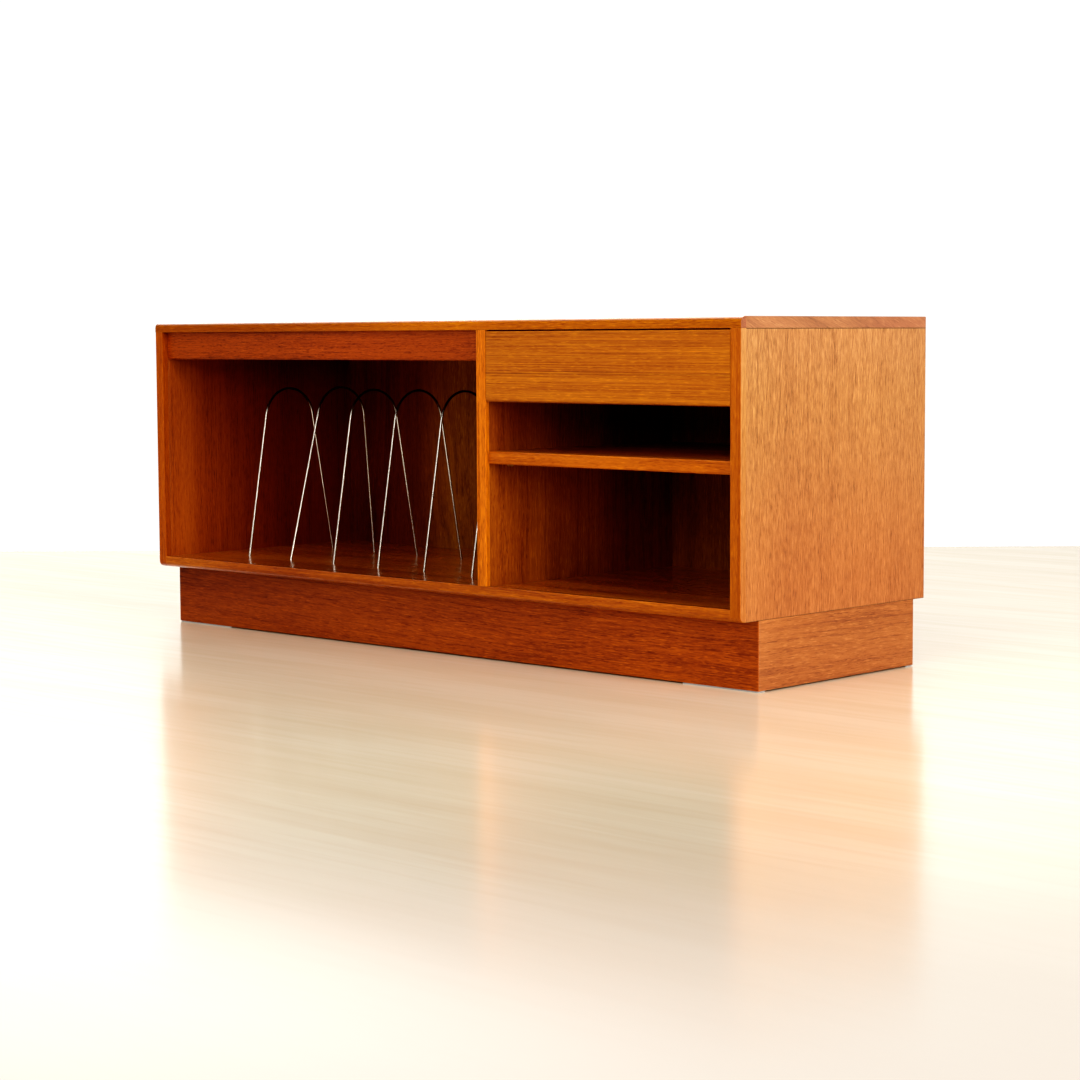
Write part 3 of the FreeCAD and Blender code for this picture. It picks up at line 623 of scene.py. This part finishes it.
def felt_pad(name, low, high):
    centre_x, centre_y = (low[0] + high[0]) / 2, (low[1] + high[1]) / 2
    path = pad_outline((high[0] - low[0]) / 2, (high[1] - low[1]) / 2)
    bm = bmesh.new()
    rings = []
    for fraction, inset in PAD_LEVELS:
        z = low[2] + fraction * (high[2] - low[2])
        ring = []
        for path_x, path_y, out_x, out_y in path:
            x, y = centre_x + path_x, centre_y + path_y
            fuzz = 0.5 + 0.5 * noise.noise(Vector((x, y, z)) * 900.0)
            depth = PAD_INSET * (inset + PAD_FUZZ * min(1.0, max(0.0, fuzz)))
            ring.append(bm.verts.new((x - out_x * depth, y - out_y * depth, z)))
        rings.append(ring)
    for below, above in zip(rings, rings[1:]):
        for i in range(len(path)):
            j = (i + 1) % len(path)
            bm.faces.new((below[i], below[j], above[j], above[i])).smooth = True
    caps = [bm.faces.new(rings[0][::-1]), bm.faces.new(rings[-1])]
    bmesh.ops.triangulate(bm, faces=caps)
    bm.normal_update()
    mesh = bpy.data.meshes.new(name)
    bm.to_mesh(mesh)
    bm.free()
    mesh.materials.append(pad_felt)
    pad = bpy.data.objects.new(name, mesh)
    bpy.context.scene.collection.objects.link(pad)
    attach(pad, "cabinet")
    return pad


corners = {}
for vertex in NODES["plinth_felt_pads"].data.vertices:
    corners.setdefault((vertex.co.x > 0, vertex.co.y > 0), []).append(vertex.co)
for number, key in enumerate(sorted(corners), start=1):
    spans = list(zip(*corners[key]))
    pad = felt_pad(f"felt_pad_{number}", [min(span) for span in spans],
                   [max(span) for span in spans])
    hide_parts("plinth_felt_pads")

# --------------------------------------------------------------------------
# floor
# --------------------------------------------------------------------------
CAMERA_X = 2.79848
FLOOR_ORIGIN = Vector((CAMERA_X, -2.87605, 0))  # the far edge is measured from here
AWAY = Vector((-0.68953, 0.72426, 0))           # level direction away from the camera
FLOOR_REACH = 5.8                               # origin to the far edge
FLOOR_SIZE = 14.0                               # half width, and depth
FLOOR_LIFT = 1.36                               # brightening seen by the camera only
FLOOR_GLOSS = 0.52                              # share of the Fresnel reflection


def floor_material():
    material, tree = new_material("floor_pale")
    place = tree.object_place()
    boards = tree.noise(tree.vmath("MULTIPLY", place, (1.2, 9.0, 1.0)), detail=3.0, rough=0.6)
    grain = tree.noise(tree.vmath("MULTIPLY", place, (3.0, 60.0, 1.0)), rough=0.6)
    colour = tree.mix(tree.step(boards, 0.3, 0.7), (0.74, 0.56, 0.36), (0.79, 0.62, 0.42))
    grain = tree.mul(tree.step(grain, 0.4, 0.7), 0.3)
    colour = tree.mix(grain, colour, (0.70, 0.51, 0.31))

    # lifted and cooled for the camera, darker in a band in front
    seen = tree.node("LightPath").outputs["Is Camera Ray"]
    away = tree.vmath("DOT_PRODUCT", place, tuple(AWAY))
    lift = tree.muladd(seen, FLOOR_LIFT - 1.0, 1.0)
    near = tree.mul(tree.step(away, -1.0, -2.3), tree.step(away, -3.6, -2.5))
    lift = tree.mul(lift, tree.muladd(near, -0.48, 1.0))
    cool = tree.mix(seen, (1.0, 1.0, 1.0), (1.0, 1.13, 1.28))
    colour = tree.tint_multiply(tree.tint_multiply(colour, cool), tree.comb(lift, lift, lift))
    matt = tree.node("BsdfDiffuse", {"Color": colour}).outputs[0]
    gloss = tree.node("BsdfGlossy", {"Color": (1, 1, 1), "Roughness": 0.17}).outputs[0]
    fresnel = tree.node("Fresnel", {"IOR": 1.45}).outputs[0]
    surface = tree.mix_shader(tree.mul(fresnel, FLOOR_GLOSS), matt, gloss)

    # beyond the reach of the lamps the floor runs out into an even pale tone
    far = tree.mul(tree.step(tree.vmath("LENGTH", place), 1.4, 2.7), seen)
    far = tree.mul(far, tree.step(away, -0.9, -2.2))
    even = tree.node("Emission", {"Color": (0.96, 0.87, 0.77)}).outputs[0]
    tree.node("OutputMaterial", {0: tree.mix_shader(far, surface, even)})
    return material


def floor():
    edge = FLOOR_ORIGIN + AWAY * FLOOR_REACH
    back = AWAY * FLOOR_SIZE
    side = Vector((back.y, -back.x, 0))
    mesh = bpy.data.meshes.new("floor")
    mesh.from_pydata([edge - side, edge + side, edge + side - back, edge - side - back],
                     [], [(0, 1, 2, 3)])
    plane = bpy.data.objects.new("floor", mesh)
    bpy.context.scene.collection.objects.link(plane)
    mesh.materials.append(floor_material())


floor()

# --------------------------------------------------------------------------
# world: white behind the cabinet and to its right, dim on the camera's side
# --------------------------------------------------------------------------
SEEN, AMBIENT = 1.05, 0.28          # strength for the camera, and for diffuse light
GLOSS = 1.0                         # overall strength of reflections
GLOSS_SIDE, GLOSS_DIM, GLOSS_TOP = 0.8, 0.01, 5.0   # right side, least, high back left

scene = bpy.context.scene
scene.world = bpy.data.worlds.new("studio")
scene.world.use_nodes = True
tree = Tree(scene.world.node_tree)


def background(colour, strength):
    return tree.node("Background", {"Color": colour, "Strength": strength}).outputs[0]


direction = tree.node("TexCoord").outputs["Generated"]
toward = tree.vmath("DOT_PRODUCT", direction, (-0.6895, 0.7243, 0.0))
right = tree.vmath("DOT_PRODUCT", direction, (0.7243, 0.6895, 0.0))
corner = tree.vmath("DOT_PRODUCT", direction, (-0.728, 0.264, 0.633))
wall = tree.step(toward, 0.55, 0.93)
side = tree.mul(tree.step(right, 0.3, 0.95), GLOSS_SIDE)
level = tree.math("MAXIMUM", tree.math("MAXIMUM", wall, side), GLOSS_DIM)
high = tree.step(tree.axes(direction)["Z"], 0.18, 0.42)
patch = tree.mul(tree.step(corner, 0.80, 0.97), high)
level = tree.add(level, tree.mul(patch, GLOSS_TOP))
rays = tree.node("LightPath").outputs
sky = tree.mix_shader(rays["Is Glossy Ray"], background((1.0, 0.98, 0.95), AMBIENT),
                      background((1.0, 0.99, 0.97), tree.mul(level, GLOSS)))
sky = tree.mix_shader(rays["Is Camera Ray"], sky, background((1, 1, 1), SEEN))
tree.node("OutputWorld", {0: sky})

# --------------------------------------------------------------------------
# lights
# --------------------------------------------------------------------------
WARM, NEUTRAL = (1.0, 0.985, 0.96), (1.0, 0.99, 0.97)
MIDDLE = (0.0, 0.0, 0.25)
# name, place, target, size, watts, colour, seen in reflections
LIGHTS = (
    ("key_right", (4.4, -0.6, 1.6), (0.3, 0.0, 0.25), (2.4, 2.0), 190.0, WARM, True),
    ("front_right", (2.4, -4.4, 1.7), MIDDLE, (2.4, 1.6), 84.0, NEUTRAL, True),
    ("front_left", (-2.0, -4.4, 1.7), MIDDLE, (2.4, 1.6), 15.0, NEUTRAL, True),
    ("left_low", (-3.2, -3.6, 0.9), MIDDLE, (2.0, 1.2), 11.0, NEUTRAL, True),
    ("front_high", (0.2, -3.2, 3.2), MIDDLE, (3.0, 1.6), 58.0, NEUTRAL, True),
    ("ceiling_front", (0.6, -1.9, 3.2), (0.3, -1.2, 0.0), (4.5, 3.0), 18.0, NEUTRAL, True),
    ("ceiling", (0.2, 0.9, 3.4), (0.1, 0.6, 0.0), (4.5, 2.5), 16.0, NEUTRAL, False),
    ("left_back", (-3.6, 2.4, 2.2), (0.0, 0.2, 0.25), (2.4, 1.8), 75.0, NEUTRAL, False),
)
for name, place, target, size, watts, colour, glossy in LIGHTS:
    light = bpy.data.lights.new(name, "AREA")
    light.shape = "RECTANGLE"
    light.size, light.size_y = size
    light.energy = watts
    light.color = colour
    lamp = bpy.data.objects.new(name, light)
    aim = (Vector(target) - Vector(place)).to_track_quat("-Z", "Y")
    lamp.matrix_world = Matrix.Translation(place) @ aim.to_matrix().to_4x4()
    scene.collection.objects.link(lamp)
    lamp.visible_camera = False
    lamp.visible_glossy = glossy

# --------------------------------------------------------------------------
# camera
# --------------------------------------------------------------------------
CAMERA_PLACE = (CAMERA_X, FRONT_Y - 2.65105, 0.50959)
HEADING, PITCH, ROLL = 0.76072, 0.08399, -0.00504   # left of +Y, downwards, about the view

forward = Vector((-math.sin(HEADING) * math.cos(PITCH), math.cos(HEADING) * math.cos(PITCH),
                  -math.sin(PITCH)))
level_right = forward.cross(Vector((0, 0, 1))).normalized()
level_up = level_right.cross(forward)
right = math.cos(ROLL) * level_right + math.sin(ROLL) * level_up
up = -math.sin(ROLL) * level_right + math.cos(ROLL) * level_up
lens = bpy.data.cameras.new("camera")
lens.sensor_width = 36.0
lens.sensor_fit = "HORIZONTAL"
lens.lens = 80.577667
lens.clip_start = 0.05
lens.clip_end = 60.0
camera = bpy.data.objects.new("camera", lens)
turn = Matrix((right, up, -forward)).transposed()
camera.matrix_world = Matrix.Translation(CAMERA_PLACE) @ turn.to_4x4()
scene.collection.objects.link(camera)
scene.camera = camera

# --------------------------------------------------------------------------
# tone curve with a hard toe: shadows drop to black and gain colour
# --------------------------------------------------------------------------
TOE = 0.10
CURVE_STOPS = (0.0, 0.012, 0.03, 0.06, 0.11, 0.20, 0.36, 0.62, 1.0)
view = scene.view_settings
view.view_transform = "Standard"
view.look = "None"
view.use_curve_mapping = True
view.curve_mapping.extend = "EXTRAPOLATED"
points = view.curve_mapping.curves[3].points
while len(points) < len(CURVE_STOPS):
    points.new(0.5, 0.5)
for point, x in zip(points, CURVE_STOPS):
    point.location = (x, x * x * (1 + TOE) / (x + TOE))
view.curve_mapping.update()

bpy.context.view_layer.update()
